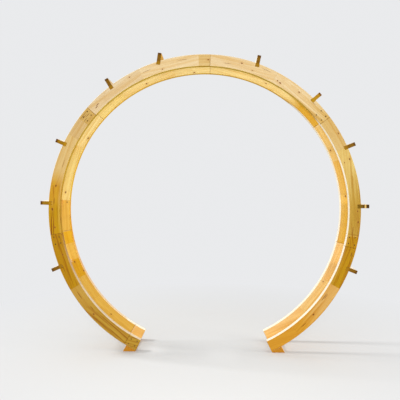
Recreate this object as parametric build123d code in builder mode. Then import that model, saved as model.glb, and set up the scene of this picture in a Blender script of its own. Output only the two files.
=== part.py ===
from build123d import *
import os
from math import cos, degrees, radians, sin

# Timber moon gate: two open rims stand one behind the other, joined by short cross boards
# Lengths are in millimetres. Angles are in degrees from the crown, clockwise as seen from the front.
# +X runs to the right, +Y from the front rim to the rear rim, +Z up. The origin is on the ground.

# Rims
rim_outer_radius = 1210
rim_width = 90
rim_thickness = 45
gate_depth = 320
rim_end_angle = 154
segment_count = 6
lap_length = 100
rim_arris = 3

# Cross boards, set out by hand from the crown down each side. They lean a little, clockwise from square
# to the rims, about the point where they cross the outer edge.
board_thickness = 28
board_width = 90
board_arris = 2
housing_depth = 27
housing_clearance = 0.3
right_board_angles = (20.0, 44.4, 65.6, 87.9, 111.5)
left_board_angles = (16.6, 36.5, 64.0, 86.8, 111.0)
right_board_leans = (-8, 5, 2, 2, 0)
left_board_leans = (25, 5.5, -3, -1, -3)

# Wedge feet
foot_length = 85
foot_toe_thickness = 8
foot_clearance = 0.3

# Sizes that follow from these
rim_inner_radius = rim_outer_radius - rim_width
layer_thickness = rim_thickness / 2
lap_angle = degrees(lap_length / (rim_outer_radius - rim_width / 2))
segment_angle = (2 * rim_end_angle - lap_angle) / segment_count
board_middle_offset = board_width / 2 - housing_depth
foot_seat_radius = rim_outer_radius + foot_clearance
foot_heel_angle = rim_end_angle - degrees(foot_length / foot_seat_radius)
centre_height = -(foot_seat_radius + foot_toe_thickness) * cos(radians(rim_end_angle))
rim_depths = {"front": 0, "rear": gate_depth - rim_thickness}


def upright_plane(depth):
    """Plane that faces forward, this far behind the gate's front, with its origin on the rims' axis."""
    return Plane(origin=(0, depth - gate_depth / 2, centre_height), x_dir=(1, 0, 0), z_dir=(0, -1, 0))


def on_ring(radius, angle):
    """Place in an upright plane at this radius and angle, with its own Y axis pointing outward."""
    across = radius * sin(radians(angle))
    up = radius * cos(radians(angle))
    return Location((across, up, 0), (0, 0, -angle))


def board_place(angle, lean):
    """Place of a cross board's section: on the rims' outer edge, turned by its lean, then moved outward."""
    turned = on_ring(rim_outer_radius, angle) * Location((0, 0, 0), (0, 0, -lean))
    return turned * Location((0, board_middle_offset, 0))


def rim_layer(depth, right_angle, left_angle):
    """Curved layer of half the rim's thickness between two angles, its front face at this depth."""
    with BuildPart() as layer:
        with BuildSketch(upright_plane(depth)):
            with BuildLine():
                sweep_angle = right_angle - left_angle
                outer_edge = CenterArc((0, 0), rim_outer_radius, 90 - right_angle, sweep_angle)
                inner_edge = CenterArc((0, 0), rim_inner_radius, 90 - right_angle, sweep_angle)
                Line(outer_edge @ 0, inner_edge @ 0)
                Line(outer_edge @ 1, inner_edge @ 1)
            make_face()
        extrude(amount=-layer_thickness)
    return layer.part


def joint_angle(number):
    """Angle of a joint line on the rims' front faces, counted from the square right-hand end."""
    return rim_end_angle - number * segment_angle


def save(piece, name):
    """Write a finished piece under its own name."""
    piece.label = name
    export_step(piece, f"parts/{name}.step")


os.makedirs("parts", exist_ok=True)

# Housings for the cross boards, open at the rims' outer edge and cut right through both rims
right_board_places = [board_place(angle, lean) for angle, lean in zip(right_board_angles, right_board_leans)]
left_board_places = [board_place(-angle, lean) for angle, lean in zip(left_board_angles, left_board_leans)]
with BuildSketch(upright_plane(0)) as housings:
    with Locations(*right_board_places, *left_board_places):
        Rectangle(board_thickness + 2 * housing_clearance, board_width)

# Rim segments, numbered from the right-hand end: the rear layer of each one runs on behind the next
# as a tongue, so that neighbours share a half-lap joint. The first one ends square.
for rim_name, rim_depth in rim_depths.items():
    rear_layer_depth = rim_depth + layer_thickness
    for number in range(segment_count):
        rear_start = rim_end_angle if number == 0 else joint_angle(number) - lap_angle
        front_layer = rim_layer(rim_depth, joint_angle(number), joint_angle(number + 1))
        rear_layer = rim_layer(rear_layer_depth, rear_start, joint_angle(number + 1) - lap_angle)
        with BuildPart() as rim_segment:
            add(front_layer)
            add(rear_layer)
            long_edges = rim_segment.edges().filter_by(GeomType.CIRCLE).group_by(Axis.Y)
            chamfer(long_edges[0] + long_edges[-1], length=rim_arris)
            extrude(housings.sketch, amount=-gate_depth, mode=Mode.SUBTRACT)
        save(rim_segment.part, f"{rim_name}_rim_segment_{number + 1}")

# End blocks, which close the half-lap in front of the last segment's tongue at the left-hand end
for rim_name, rim_depth in rim_depths.items():
    block_layer = rim_layer(rim_depth, joint_angle(segment_count), -rim_end_angle)
    with BuildPart() as end_block:
        add(block_layer)
        long_edges = end_block.edges().filter_by(GeomType.CIRCLE).group_by(Axis.Y)
        chamfer(long_edges[0], length=rim_arris)
    save(end_block.part, f"{rim_name}_rim_left_end_block")

# Cross boards, on edge in their housings and flush with the outer faces of both rims
for side, side_places in (("right", right_board_places), ("left", left_board_places)):
    for number, place in enumerate(side_places, start=1):
        with BuildPart() as cross_board:
            with BuildSketch(upright_plane(0) * place) as section:
                Rectangle(board_thickness, board_width)
                chamfer(section.vertices().group_by(Axis.Y)[-1], length=board_arris)
            extrude(amount=-gate_depth)
        save(cross_board.part, f"cross_board_{side}_{number}")

# Wedge feet, scribed to the rims' outer edge and cut level underneath
with BuildPart() as right_foot:
    with BuildSketch(upright_plane(0)):
        with BuildLine():
            toe_radius = foot_seat_radius + foot_toe_thickness
            heel_radius = -centre_height / cos(radians(foot_heel_angle))
            seat = CenterArc((0, 0), foot_seat_radius, 90 - rim_end_angle, rim_end_angle - foot_heel_angle)
            toe = on_ring(toe_radius, rim_end_angle).position
            heel = on_ring(heel_radius, foot_heel_angle).position
            Polyline(seat @ 1, heel, toe, seat @ 0)
        make_face()
    extrude(amount=-gate_depth)
save(right_foot.part, "right_foot")

with BuildPart() as left_foot:
    mirror(right_foot.part, about=Plane.YZ)
save(left_foot.part, "left_foot")
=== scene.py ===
# %% [markdown]
# # A timber moon gate
#
# A moon gate is a round opening that people walk through. This one stands free and is made of two open rims
# of planed, pale softwood, one behind the other. Short cross boards on edge are let into the rims and hold
# them apart, and a wedge under each end carries the whole gate.
#
# The construction comes ready from the frame, at its real size and place. What this lesson adds is the
# finish: timbers with eased edges, half-lap joints that show as fine shadow lines, countersunk screws, and
# wood whose grain runs through each timber and shows its rings wherever the timber is cut across.

import bmesh
import bpy
import numpy as np
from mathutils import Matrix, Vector


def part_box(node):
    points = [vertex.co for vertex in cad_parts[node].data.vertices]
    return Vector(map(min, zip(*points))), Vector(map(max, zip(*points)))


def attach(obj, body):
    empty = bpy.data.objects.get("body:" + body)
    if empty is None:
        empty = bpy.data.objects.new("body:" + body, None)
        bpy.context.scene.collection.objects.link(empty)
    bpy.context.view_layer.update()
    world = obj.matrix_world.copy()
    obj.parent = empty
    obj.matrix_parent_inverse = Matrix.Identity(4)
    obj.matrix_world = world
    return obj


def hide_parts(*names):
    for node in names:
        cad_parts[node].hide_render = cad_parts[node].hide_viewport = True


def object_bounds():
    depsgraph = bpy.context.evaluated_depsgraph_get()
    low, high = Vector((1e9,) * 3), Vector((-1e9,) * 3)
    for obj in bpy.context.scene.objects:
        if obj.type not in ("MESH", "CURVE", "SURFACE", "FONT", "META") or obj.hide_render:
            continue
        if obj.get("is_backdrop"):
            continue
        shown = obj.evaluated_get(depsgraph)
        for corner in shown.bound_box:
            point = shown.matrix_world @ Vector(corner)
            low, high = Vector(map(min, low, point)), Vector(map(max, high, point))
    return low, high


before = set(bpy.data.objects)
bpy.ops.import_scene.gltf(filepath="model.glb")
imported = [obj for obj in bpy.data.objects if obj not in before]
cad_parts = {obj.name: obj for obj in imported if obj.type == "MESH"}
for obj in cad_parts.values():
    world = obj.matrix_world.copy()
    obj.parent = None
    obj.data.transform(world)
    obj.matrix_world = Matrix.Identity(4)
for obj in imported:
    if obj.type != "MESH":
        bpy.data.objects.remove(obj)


def in_millimetres(box):
    """The two corners of a box, for printing."""
    return [[round(number * 1000, 1) for number in corner] for corner in box]


frame_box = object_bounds()
print("frame nodes:", len(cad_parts), "and box in mm:", in_millimetres(frame_box))

# %% [markdown]
# ## The gate's own coordinates
#
# Every timber of this gate is easiest to describe round the ring: an angle from the crown (positive to the
# right, seen from the front), a distance from the ring's centre, and a depth from front to rear. A timber
# that is straight in these coordinates is curved in the world, so one short function does all the bending,
# and another leads back. The sizes are the gate's driving dimensions in metres. The centre's height and the
# front and rear faces are read from the frame.

# %% Sizes and places round the ring
RIM_OUTER_RADIUS = 1.210
RIM_WIDTH = 0.090
RIM_THICKNESS = 0.045
RIM_END_ANGLE = 154.0
SEGMENT_COUNT = 6
LAP_LENGTH = 0.100
RIM_INNER_RADIUS = RIM_OUTER_RADIUS - RIM_WIDTH
RIM_MIDDLE_RADIUS = RIM_OUTER_RADIUS - RIM_WIDTH / 2
LAP_ANGLE = np.degrees(LAP_LENGTH / RIM_MIDDLE_RADIUS)
SEGMENT_ANGLE = (2 * RIM_END_ANGLE - LAP_ANGLE) / SEGMENT_COUNT

FRONT_FACE = frame_box[0].y
REAR_FACE = frame_box[1].y
crown_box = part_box("front_rim_segment_3")
CENTRE_HEIGHT = crown_box[1].z - RIM_OUTER_RADIUS


def ring_points(angles, radii, depths):
    """Points in the world: x is radius times the sine of the angle, z is the centre's height plus radius
    times its cosine, and y is the depth. The three inputs are arrays of one shape, angles in degrees."""
    turn = np.radians(angles)
    return np.stack([radii * np.sin(turn), depths, CENTRE_HEIGHT + radii * np.cos(turn)], axis=-1)


def ring_places(points):
    """The way back from x and z: the angle of each point in radians, and its distance from the centre."""
    across, up = points[:, 0], points[:, 2] - CENTRE_HEIGHT
    return np.arctan2(across, up), np.hypot(across, up)


def joint_angle(number):
    """Angle of a joint line on the front faces: equal steps from the square right-hand end."""
    return RIM_END_ANGLE - number * SEGMENT_ANGLE


LAPS = [joint_angle(number) for number in range(1, SEGMENT_COUNT + 1)]
print("centre height:", round(CENTRE_HEIGHT, 4), "joints at", [round(float(angle), 1) for angle in LAPS])

# %% [markdown]
# ## From an array to a finished piece
#
# A solid timber is a closed skin of faces in Blender. It could be cut out of blocks with booleans, but here
# numpy works out each piece as a grid of points: closed rings of corners, one after another. That keeps the
# faces few and even, and every size stays a number in a formula. Where a timber steps in or out, two rings
# stand at one angle, and the points that fall together are welded.

# %% A closed mesh from rings of points
WELD_DISTANCE = 0.00002


def tube_faces(rings, corners):
    """Faces that join each ring to the next: a quad between two neighbouring corners and the same two on
    the next ring, and a cap on the first ring and on the last."""
    index = np.arange(rings * corners).reshape(rings, corners)
    following = np.roll(index, -1, axis=1)
    quads = np.stack([index[:-1], following[:-1], following[1:], index[1:]], axis=-1).reshape(-1, 4)
    return [*quads.tolist(), index[0][::-1].tolist(), index[-1].tolist()]


def welded_mesh(name, points, faces):
    """Mesh from an array of points and a list of faces, welded and with its faces turned outward."""
    mesh = bpy.data.meshes.new(name)
    mesh.from_pydata(points.reshape(-1, 3).tolist(), [], faces)
    work = bmesh.new()
    work.from_mesh(mesh)
    bmesh.ops.remove_doubles(work, verts=work.verts, dist=WELD_DISTANCE)
    bmesh.ops.recalc_face_normals(work, faces=work.faces)
    work.to_mesh(mesh)
    work.free()
    return mesh


def placed_object(name, data):
    """Object in the scene that shows a mesh, or holds a lamp or a camera."""
    placed = bpy.data.objects.new(name, data)
    bpy.context.scene.collection.objects.link(placed)
    return placed


print("faces of a plain bar with two ends of four corners:", len(tube_faces(2, 4)))

# %% [markdown]
# ## Eased edges
#
# No planed timber has a knife edge. The long arrises are taken off with a cutter, here by 3 mm, and the
# sawn ends only with sandpaper, by about 1 mm. The rounding could be part of every formula, but a Bevel
# modifier does it in one place for all of them, by a weight on each edge. The modifiers are applied, so
# that what follows reads the true surface.

# %% Ease the edges
SHARP_ANGLE = np.radians(30)
CREASE_ANGLE = np.radians(40)
RIM_ARRIS = 0.003
SHORT_EDGE_SHARE = 0.4
ARRIS_FACETS = 3


def mark_edges(mesh, long_arris):
    """Bevel weight of each sharp edge: 1 for a long arris, and the short share for every other."""
    work = bmesh.new()
    work.from_mesh(mesh)
    weight = work.edges.layers.float.new("bevel_weight_edge")
    for edge in work.edges:
        if edge.is_manifold and edge.calc_face_angle() > SHARP_ANGLE:
            edge[weight] = 1.0 if long_arris(edge) else SHORT_EDGE_SHARE
    work.to_mesh(mesh)
    work.free()


def shade(mesh):
    """Smooth shading that stays sharp at a crease."""
    mesh.shade_smooth()
    mesh.set_sharp_from_angle(angle=CREASE_ANGLE)


def finished_object(name, mesh, arris, cutter=None):
    """Object with its edges rounded by the arris times their weight, and with the cutter's pockets."""
    piece = placed_object(name, mesh)
    bevel = piece.modifiers.new("eased edges", "BEVEL")
    bevel.limit_method = "WEIGHT"
    bevel.width = arris
    bevel.segments = ARRIS_FACETS
    if cutter is not None:
        pockets = piece.modifiers.new("screw pockets", "BOOLEAN")
        pockets.operation = "DIFFERENCE"
        pockets.object = cutter
    applied = bpy.data.meshes.new_from_object(piece.evaluated_get(bpy.context.evaluated_depsgraph_get()))
    piece.modifiers.clear()
    piece.data = applied
    applied.name = name
    shade(applied)
    piece.modifiers.new("even shading", "WEIGHTED_NORMAL").keep_sharp = True
    return piece


def place_piece(piece, slot_name, *replaced_nodes):
    """The piece moves with the gate and stands for its nodes of the frame, which it hides.
    Its slot name is not used.
    """
    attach(piece, "root")
    if replaced_nodes:
        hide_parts(*replaced_nodes)


print("rim arris in mm:", RIM_ARRIS * 1000,
      "and at a sawn end:", round(RIM_ARRIS * SHORT_EDGE_SHARE * 1000, 1))

# %% [markdown]
# ## Where the grain runs
#
# Wood is not a skin but a solid: its rings run through the timber, show as long streaks on the sides and
# as arcs where it is cut across. A picture wrapped round the timber couldn't do both, so the pattern is
# worked out inside it, and each mesh carries two attributes for that. The first, "grain", is a place in the
# timber: metres along the grain, metres in depth, and metres outward. The second, "end_grain", is 1 on
# faces that are cut across the grain, with the narrow eased edges round them.

# %% Grain attributes
END_GRAIN_LEAN = 0.2


def read_vectors(items, quality):
    """One quality of all vertices or faces, such as their place, as an array with a row for each."""
    values = np.empty(len(items) * 3, dtype=np.float32)
    items.foreach_get(quality, values)
    return values.reshape(-1, 3)


def store_grain(mesh, places, grain_directions):
    """Write each point's place in the timber, and mark faces whose normal leans along the grain."""
    attribute = mesh.attributes.new("grain", "FLOAT_VECTOR", "POINT")
    attribute.data.foreach_set("vector", places.astype(np.float32).ravel())
    lean = np.abs(np.sum(read_vectors(mesh.polygons, "normal") * grain_directions, axis=1))
    ends = mesh.attributes.new("end_grain", "FLOAT", "FACE")
    ends.data.foreach_set("value", (lean > END_GRAIN_LEAN).astype(np.float32))


def ring_grain(piece, middle_depth):
    """Grain that follows the ring: angle times middle radius, depth, and radius from the middle one."""
    points = read_vectors(piece.data.vertices, "co")
    angles, radii = ring_places(points)
    places = np.stack([angles * RIM_MIDDLE_RADIUS, points[:, 1] - middle_depth,
                       radii - RIM_MIDDLE_RADIUS], axis=-1)
    face_angles, _ = ring_places(read_vectors(piece.data.polygons, "center"))
    directions = np.stack([np.cos(face_angles), np.zeros_like(face_angles), -np.sin(face_angles)], axis=-1)
    store_grain(piece.data, places, directions)


def straight_grain(piece, middle, outward, shift):
    """Grain along the gate's depth: depth plus a shift of its own, across, and outward from the middle."""
    points = read_vectors(piece.data.vertices, "co") - np.array(middle)
    across = np.cross(outward, (0, 1, 0))
    places = np.stack([points[:, 1] + shift, points @ across, points @ np.array(outward)], axis=-1)
    store_grain(piece.data, places, np.array([0.0, 1.0, 0.0]))


print("end grain from a lean of", round(float(np.degrees(np.arcsin(END_GRAIN_LEAN))), 1), "degrees")

# %% [markdown]
# ## The housings
#
# A housing is a notch sawn square across the rims' outer edges, and it holds a cross board. The boards were
# set out by hand, so each has its own angle and leans a little. A housing could be cut with a boolean, but
# its two cheeks are plain straight lines, so it can be worked out what they do to the timber: each crosses
# the outer edge at one angle and reaches the housing's floor at another.

# %% Set out the housings
BOARD_THICKNESS = 0.028
HOUSING_CLEARANCE = 0.0003
HOUSING_DEPTH = 0.027
RIGHT_BOARD_ANGLES = (20.0, 44.4, 65.6, 87.9, 111.5)
LEFT_BOARD_ANGLES = (16.6, 36.5, 64.0, 86.8, 111.0)
RIGHT_BOARD_LEANS = (-8, 5, 2, 2, 0)
LEFT_BOARD_LEANS = (25, 5.5, -3, -1, -3)


def board_axes(angles, leans):
    """Where boards cross the outer edge, and their directions outward and sideways, in x and z from the
    ring's centre: the outward direction is the angle plus the clockwise lean."""
    turn = np.radians(angles)
    lean = np.radians(np.add(angles, leans))
    crossing = RIM_OUTER_RADIUS * np.stack([np.sin(turn), np.cos(turn)], axis=-1)
    outward = np.stack([np.sin(lean), np.cos(lean)], axis=-1)
    sideways = np.stack([np.cos(lean), -np.sin(lean)], axis=-1)
    return crossing, outward, sideways


def housing_cheeks(angles, leans):
    """Angles where the two cheeks of each housing cross the outer edge, then the angles and the radii where
    they meet its floor. A cheek is a straight line along the board. How far along it the outer edge lies
    comes from the triangle of the outer radius, the line, and the line's distance from the centre."""
    crossing, outward, sideways = board_axes(angles, leans)
    half_width = (BOARD_THICKNESS / 2 + HOUSING_CLEARANCE) * np.array([[-1.0], [1.0]])
    start = crossing[:, None] + half_width * sideways[:, None]
    floor = start - HOUSING_DEPTH * outward[:, None]
    along = np.sum(start * outward[:, None], axis=-1)
    squared_distance = np.sum(start ** 2, axis=-1) - along ** 2
    to_edge = np.sqrt(RIM_OUTER_RADIUS ** 2 - squared_distance) - along
    edge = start + to_edge[..., None] * outward[:, None]
    return (np.degrees(np.arctan2(edge[..., 0], edge[..., 1])),
            np.degrees(np.arctan2(floor[..., 0], floor[..., 1])), np.hypot(floor[..., 0], floor[..., 1]))


board_angles = np.array([*RIGHT_BOARD_ANGLES, *(-angle for angle in LEFT_BOARD_ANGLES)])
board_leans = np.array([*RIGHT_BOARD_LEANS, *LEFT_BOARD_LEANS])
edge_angles, floor_angles, floor_radii = housing_cheeks(board_angles, board_leans)
cheek_angles = (edge_angles + floor_angles) / 2
print("housing widths in degrees:", np.round(np.ptp(cheek_angles, axis=1), 2).tolist())

# %% [markdown]
# ## Where a section stands
#
# A rim segment is a rectangular section carried round the ring. Two things interrupt it: the half-laps,
# where only its front or rear half remains, and the housings. Both are a matter of which section stands at
# which angle, so the angles where something changes are listed first. Even steps between them keep the
# curve round, and they keep clear of the other angles, so that no sliver of a face is left.

# %% List the stations of the section
LEVEL_RADIUS = RIM_OUTER_RADIUS - HOUSING_DEPTH
STATION_STEP = 1.0


def section_stations(limits):
    """Middle angles of the sections between the outermost limits, each with its angle at the outer edge,
    and its angle and radius at the level of the housing floors. Sections stand at the limits, at every
    cheek, and at even steps that keep clear of both."""
    steady = np.arange(limits.min(), limits.max(), STATION_STEP)
    clear = np.abs(steady[:, None] - limits).min(axis=1) > STATION_STEP / 3
    clear &= np.abs(steady[:, None] - cheek_angles.ravel()).min(axis=1) > STATION_STEP
    plain = np.concatenate([limits, steady[clear]])
    outer_angles = np.concatenate([plain, edge_angles.ravel()])
    level_angles = np.concatenate([plain, floor_angles.ravel()])
    level_radii = np.concatenate([np.full_like(plain, LEVEL_RADIUS), floor_radii.ravel()])
    stations, order = np.unique((outer_angles + level_angles) / 2, return_index=True)
    inside = (stations >= limits.min()) & (stations <= limits.max())
    order = order[inside]
    return stations[inside], outer_angles[order], level_angles[order], level_radii[order]


def lies_in(angles, spans):
    """Whether each angle lies in one of the spans. A span is two angles, in either order."""
    spans = np.sort(np.atleast_2d(spans), axis=1)
    return ((angles[:, None] > spans[:, 0]) & (angles[:, None] < spans[:, 1])).any(axis=1)


print("stations between the first two joints:", len(section_stations(np.array(LAPS[:2]))[0]))

# %% [markdown]
# ## The curved timbers
#
# The real segments are sawn to the curve from a straight glued-up plank, and then cut down at their laps.
# Here each stretch between two stations gets its own section at once. Eight points make the section. Two of
# them lie level with the floor of a housing, so that the outer edge can drop to that level without leaving
# thin slivers behind.

# %% Carry the section round the ring
ROUND_THE_WIDTH = [0, 1, 2, 2, 2, 1, 0, 0]
ROUND_THE_DEPTH = [0, 0, 0, 1, 2, 2, 2, 1]
ON_FACE = 0.00001
ON_EDGE = 0.0001


def curved_timber(name, front_span, rear_span, front_depth):
    """Closed surface of a timber whose front and rear layers reach over the given spans of angle.

    A stretch lies in a layer's span or not, and over a housing or not. Each stretch adds two rings of eight
    points, round the section from the inner front corner, and welding closes what falls together."""
    middle_depth = front_depth + RIM_THICKNESS / 2
    rear_depth = front_depth + RIM_THICKNESS
    stations, outer_angles, level_angles, level_radii = section_stations(np.array([*front_span, *rear_span]))
    stretches = (stations[:-1] + stations[1:]) / 2
    front = np.where(lies_in(stretches, front_span), front_depth, middle_depth)
    rear = np.where(lies_in(stretches, rear_span), rear_depth, middle_depth)
    notched = np.repeat(lies_in(stretches, cheek_angles), 2)

    ring = np.repeat(np.arange(len(stations)), 2)[1:-1]
    level_angle, level_radius = level_angles[ring], level_radii[ring]
    outer_angle = np.where(notched, level_angle, outer_angles[ring])
    outer_radius = np.where(notched, level_radius, RIM_OUTER_RADIUS)
    inner_radius = np.full_like(outer_radius, RIM_INNER_RADIUS)
    middle = np.full_like(outer_radius, middle_depth)
    angles = np.stack([stations[ring], level_angle, outer_angle])[ROUND_THE_WIDTH].T
    radii = np.stack([inner_radius, level_radius, outer_radius])[ROUND_THE_WIDTH].T
    depths = np.stack([np.repeat(front, 2), middle, np.repeat(rear, 2)])[ROUND_THE_DEPTH].T
    mesh = welded_mesh(name, ring_points(angles, radii, depths), tube_faces(len(ring), len(ROUND_THE_WIDTH)))

    def long_arris(edge):
        """A long arris runs round the ring, on the timber's front or rear face."""
        ends = np.array([vert.co for vert in edge.verts])
        _, radii_of_ends = ring_places(ends)
        off_face = np.abs(ends[:, 1, None] - [front_depth, rear_depth]).min(axis=1)
        off_edge = np.abs(radii_of_ends[:, None] - [RIM_INNER_RADIUS, RIM_OUTER_RADIUS]).min(axis=1)
        return off_face.max() < ON_FACE and np.ptp(radii_of_ends) < ON_FACE and off_edge.max() < ON_EDGE

    mark_edges(mesh, long_arris)
    return mesh


print("points round a section:", len(ROUND_THE_WIDTH))

# %% [markdown]
# ## Where the screws go
#
# Each half-lap is pulled together by four screws, driven from the outside: through the front face of the
# front rim and the rear face of the rear rim. They are set by eye and stray a little. Typing in 44 places
# would be dull, so random numbers from a fixed seed stray them, the same way at every run. The front rim's
# crown joint shows no screws, as if it were screwed from between the rims.

# %% Set out the screws
SCREW_LAP_SHARES = np.array([0.24, 0.24, 0.76, 0.76])
SCREW_OFFSETS = np.array([-0.021, 0.023, -0.024, 0.020])
SCREW_STRAY = 0.003
CROWN_LAP = 2
rim_fronts = {"front": FRONT_FACE, "rear": REAR_FACE - RIM_THICKNESS}
screwed_faces = {"front": (FRONT_FACE, 1), "rear": (REAR_FACE, -1)}
rng = np.random.default_rng(11)


def screw_places(lap):
    """Angles and radii of the four screws of one lap, each astray along and across."""
    stray = rng.uniform(-SCREW_STRAY, SCREW_STRAY, (2, 4))
    angles = LAPS[lap] - LAP_ANGLE * SCREW_LAP_SHARES
    angles = angles + np.degrees(stray[0] / RIM_MIDDLE_RADIUS)
    return angles, RIM_MIDDLE_RADIUS + SCREW_OFFSETS + stray[1]


screw_sets = {rim: [screw_places(lap) for lap in range(SEGMENT_COUNT)] for rim in rim_fronts}
screw_sets["front"][CROWN_LAP] = (np.empty(0), np.empty(0))
print("screws:", {rim: sum(len(angles) for angles, _ in places) for rim, places in screw_sets.items()})

# %% [markdown]
# ## Screw heads and their pockets
#
# A countersunk screw sits just under the surface. Its head is a profile turned round its axis, with a
# six-lobed recess for the driver, and its pocket is a shallow cylinder, which is a profile too. Only the
# pockets are cut with a boolean, because a round hole in a flat face doesn't fit into a grid of rings.

# %% Turn a profile
SCREW_HEAD_RADIUS = 0.0044
RECESS_RADIUS = 0.6 * SCREW_HEAD_RADIUS
RECESS_LOBES = 6
POCKET_PROFILE = [(0.0052, -0.002), (0.0052, 0.0022)]
POCKET_SIDES = 20


def turned(angles, radii, face_depth, inward, profile, swelling=0.0, sides=24):
    """Copies of a profile turned round axes along the gate's depth, one for each angle and radius.

    The profile is rows of radius and depth below the face, and inward is +1 or -1. Rows inside the recess
    swell and shrink by a share as they go round, which makes the lobes that the driver fits."""
    turn = np.linspace(0, 2 * np.pi, sides, endpoint=False)
    profile = np.array(profile)
    in_recess = profile[:, 0, None] < RECESS_RADIUS
    rows = profile[:, 0, None] * (1 + swelling * np.cos(RECESS_LOBES * turn) * in_recess)
    down = np.repeat(profile[:, 1, None], sides, axis=1)
    local = np.stack([rows * np.cos(turn), inward * down, rows * np.sin(turn)], axis=-1).reshape(-1, 3)
    centres = ring_points(angles, radii, np.full_like(radii, face_depth))
    starts = np.arange(len(centres)) * len(local)
    one_copy = tube_faces(len(profile), sides)
    faces = [(np.array(face) + start).tolist() for start in starts for face in one_copy]
    return centres[:, None, :] + local[None, :, :], faces


def pocket_cutter(rim, lap):
    """Throwaway object with a short cylinder at each screw of a lap, from outside the face to the floor of
    the pocket, or nothing where the lap shows no screws."""
    angles, radii = screw_sets[rim][lap]
    if not len(angles):
        return None
    points, faces = turned(angles, radii, *screwed_faces[rim], POCKET_PROFILE, sides=POCKET_SIDES)
    return placed_object("pocket cutter", welded_mesh("pocket cutter", points, faces))


print("pocket across in mm:", 2000 * POCKET_PROFILE[0][0], "and screw head:", 2000 * SCREW_HEAD_RADIUS)

# %% [markdown]
# ## The rims
#
# Six segments make a rim. The rear layer of each runs on behind its left-hand neighbour as a tongue, which
# is what makes the half-lap. At the far left nothing follows, so a short end block closes the last lap in
# front. A gap of 0.3 mm at every joint, with its eased edges, shows as a fine dark line. The line could be
# painted on, but a real gap has its own shadow from every side.
#
# Both rims are put together the same way round, so the screws enter a different timber in each. At the
# front rim they enter the timber whose front layer lies over the lap: the next segment, or the end block. At
# the rear rim they enter the tongue of the segment itself.

# %% Make both rims
JOINT_GAP_ANGLE = np.degrees(0.0003 / RIM_MIDDLE_RADIUS)
rim_timbers = {"front": [], "rear": []}


def make_timber(rim, name, front_span, rear_span, screwed_lap):
    """One curved timber of a rim, with the pockets of the lap whose screws enter it, if any do."""
    cutter = None if screwed_lap is None else pocket_cutter(rim, screwed_lap)
    mesh = curved_timber(name, front_span, rear_span, rim_fronts[rim])
    piece = finished_object(f"{name}_timber", mesh, RIM_ARRIS, cutter)
    if cutter is not None:
        bpy.data.objects.remove(cutter)
    ring_grain(piece, rim_fronts[rim] + RIM_THICKNESS / 2)
    place_piece(piece, f"{rim}_rim_timber", name)
    rim_timbers[rim].append(piece)


for rim in rim_fronts:
    for number in range(SEGMENT_COUNT):
        right, left = joint_angle(number), joint_angle(number + 1)
        first, last = number == 0, number == SEGMENT_COUNT - 1
        front_span = (right - (0 if first else JOINT_GAP_ANGLE), left + JOINT_GAP_ANGLE)
        rear_span = (right - (0 if first else LAP_ANGLE + JOINT_GAP_ANGLE),
                     left - LAP_ANGLE + (0 if last else JOINT_GAP_ANGLE))
        lap_in_front = None if first else number - 1
        make_timber(rim, f"{rim}_rim_segment_{number + 1}", front_span, rear_span,
                    lap_in_front if rim == "front" else number)
    block_span = (joint_angle(SEGMENT_COUNT) - JOINT_GAP_ANGLE, -RIM_END_ANGLE)
    make_timber(rim, f"{rim}_rim_left_end_block", block_span, (-RIM_END_ANGLE, -RIM_END_ANGLE),
                SEGMENT_COUNT - 1 if rim == "front" else None)
print("rim timbers:", {rim: len(pieces) for rim, pieces in rim_timbers.items()},
      "faces:", sum(len(piece.data.polygons) for pieces in rim_timbers.values() for piece in pieces))

# %% [markdown]
# ## Turn the screws
#
# The screws are too small to move or count one by one, so all those of a rim are one mesh: the profile is
# worked out once and repeated at every place. Its six rows run from the bottom of the recess, up over the
# rim of the head and down its side, which is hidden in the pocket.

# %% Make the screws
SCREW_PROFILE = [(0.0006, 0.0026), (0.0016, 0.0026), (0.0019, 0.0011), (0.0040, 0.0010),
                 (SCREW_HEAD_RADIUS, 0.0013), (SCREW_HEAD_RADIUS, 0.0022)]
RECESS_SWELLING = 0.16
screws = []
for rim, places in screw_sets.items():
    angles, radii = (np.concatenate(numbers) for numbers in zip(*places))
    points, faces = turned(angles, radii, *screwed_faces[rim], SCREW_PROFILE, RECESS_SWELLING)
    name = f"{rim}_rim_screws"
    piece = placed_object(name, welded_mesh(name, points, faces))
    shade(piece.data)
    place_piece(piece, "screw_steel")
    screws.append(piece)
print("screw meshes:", {piece.name: len(piece.data.polygons) for piece in screws})

# %% [markdown]
# ## Cross boards
#
# A cross board is a straight planed board on edge, seated in the housings of both rims. A cube could be
# scaled and turned, but a finished piece is best left at the origin, so the board's four corners are worked
# out in place and repeated at the front face and the rear face. Each board starts a few metres further
# along the same wood, so no two show the same figure.

# %% Make the cross boards
BOARD_WIDTH = 0.090
BOARD_ARRIS = 0.002
BOARD_GRAIN_STEP = 3.7


def prism(name, outline):
    """Closed surface of an outline in x and z, repeated at the front face and the rear face."""
    depths = np.repeat([FRONT_FACE, REAR_FACE], len(outline))
    across = np.tile(outline, (2, 1))
    points = np.stack([across[:, 0], depths, across[:, 1]], axis=-1)
    return welded_mesh(name, points, tube_faces(2, len(outline)))


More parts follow.
